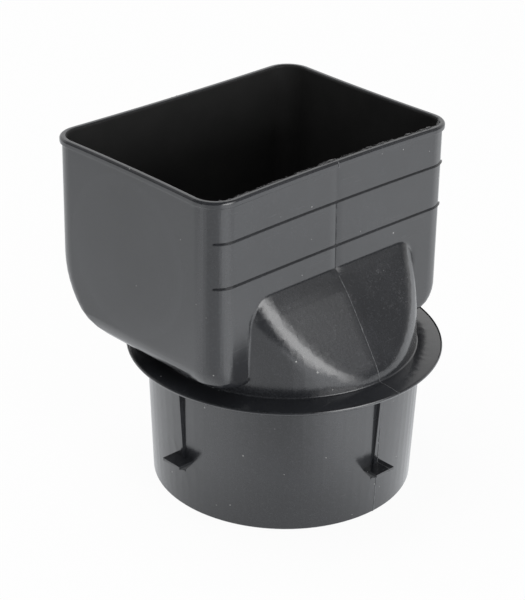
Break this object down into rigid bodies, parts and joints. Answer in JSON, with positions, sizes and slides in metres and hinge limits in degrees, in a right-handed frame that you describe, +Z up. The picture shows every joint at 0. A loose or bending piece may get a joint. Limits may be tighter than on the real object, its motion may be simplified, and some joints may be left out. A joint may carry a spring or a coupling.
{
  "type": "downspout adapter",
  "caption": "One-piece plastic adapter from a rectangular downspout to round drain pipe, with an offset socket, flanged spigot, sloping front roof and snap-in locking tabs.",
  "frame": {"origin": "on the spigot's axis, at the spigot's open lower end", "axes": "+Z up along the spigot's axis towards the socket, -Y towards the front, where the round neck and its roof stand out of the socket's flat wall, +X to the right seen from the front"},
  "size_m": [0.1202, 0.121, 0.1322],
  "materials": {
    "black_plastic": "semi-gloss as moulded, mid-grey sheen where it faces the light"
  },
  "bodies": {
    "root": {"adapter": "black_plastic"}
  },
  "joints": []
}
